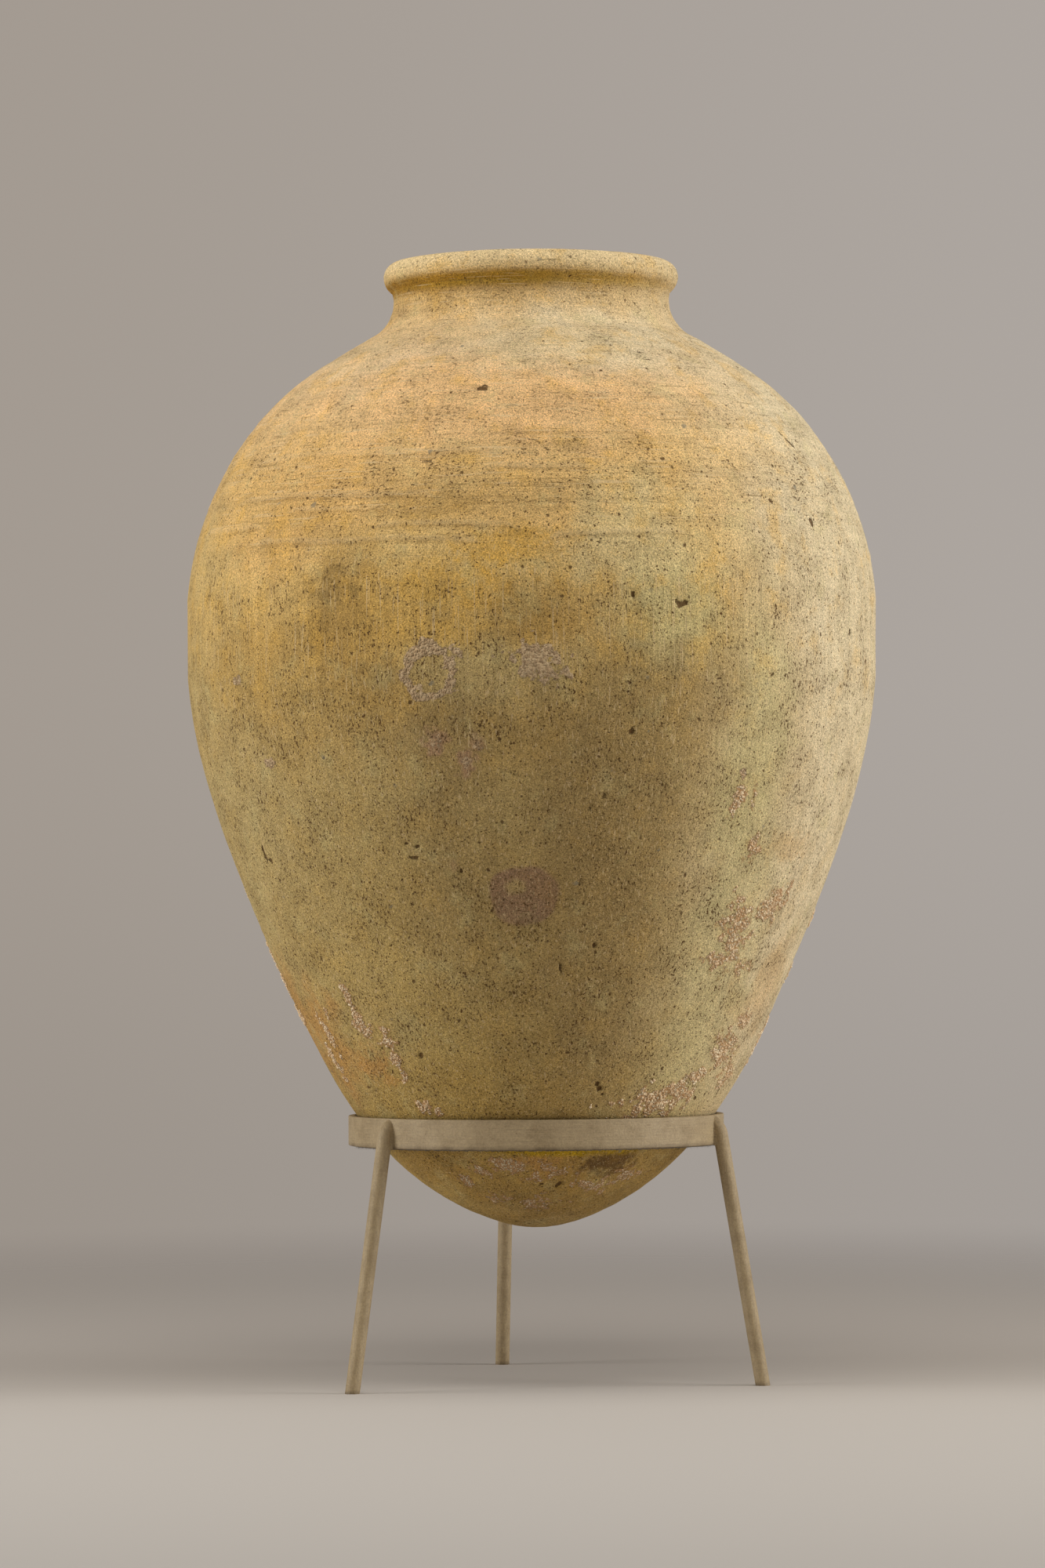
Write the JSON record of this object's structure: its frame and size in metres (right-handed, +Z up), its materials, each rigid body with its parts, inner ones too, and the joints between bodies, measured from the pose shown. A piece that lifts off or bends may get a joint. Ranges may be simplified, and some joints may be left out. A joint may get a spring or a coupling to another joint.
{
  "type": "ceramic storage jar on a stand",
  "caption": "Large round-based clay storage jar with a short neck and rolled rim, lifting out of a felt-lined steel hoop on rod legs.",
  "frame": {"origin": "on the floor under the jar's axis", "axes": "+Z up along the jar's axis, -Y towards the viewer, +X to the viewer's right"},
  "size_m": [0.5045, 0.5044, 0.8126],
  "materials": {
    "clay_rim": "matte, unglazed, cream to tan fired clay with throwing lines",
    "clay_shoulder": "matte, unglazed, peach to ochre fired clay with throwing lines",
    "clay_body": "matte, unglazed, scraped ochre to grey-green fired clay with pale crust",
    "clay_base": "matte, unglazed, stained fired clay with pale crust",
    "painted_steel": "matte beige paint, brushed on",
    "felt": "dark brown wool felt"
  },
  "bodies": {
    "stand": {"hoop": "painted_steel", "hoop_seam_weld": "painted_steel", "felt_lining": "felt", "leg_left": "painted_steel", "leg_right": "painted_steel", "leg_back": "painted_steel", "weld_left": "painted_steel", "weld_right": "painted_steel", "weld_back": "painted_steel"},
    "jar": {"rim_coil": "clay_rim", "neck_collar": "clay_rim", "upper_body": "clay_shoulder", "lower_body": "clay_body", "base_bowl": "clay_base"}
  },
  "joints": [
    {"name": "jar_lift", "type": "slide", "parent": "stand", "child": "jar", "axis": [0, 0, 1], "range_m": [0, 0.12]}
  ]
}
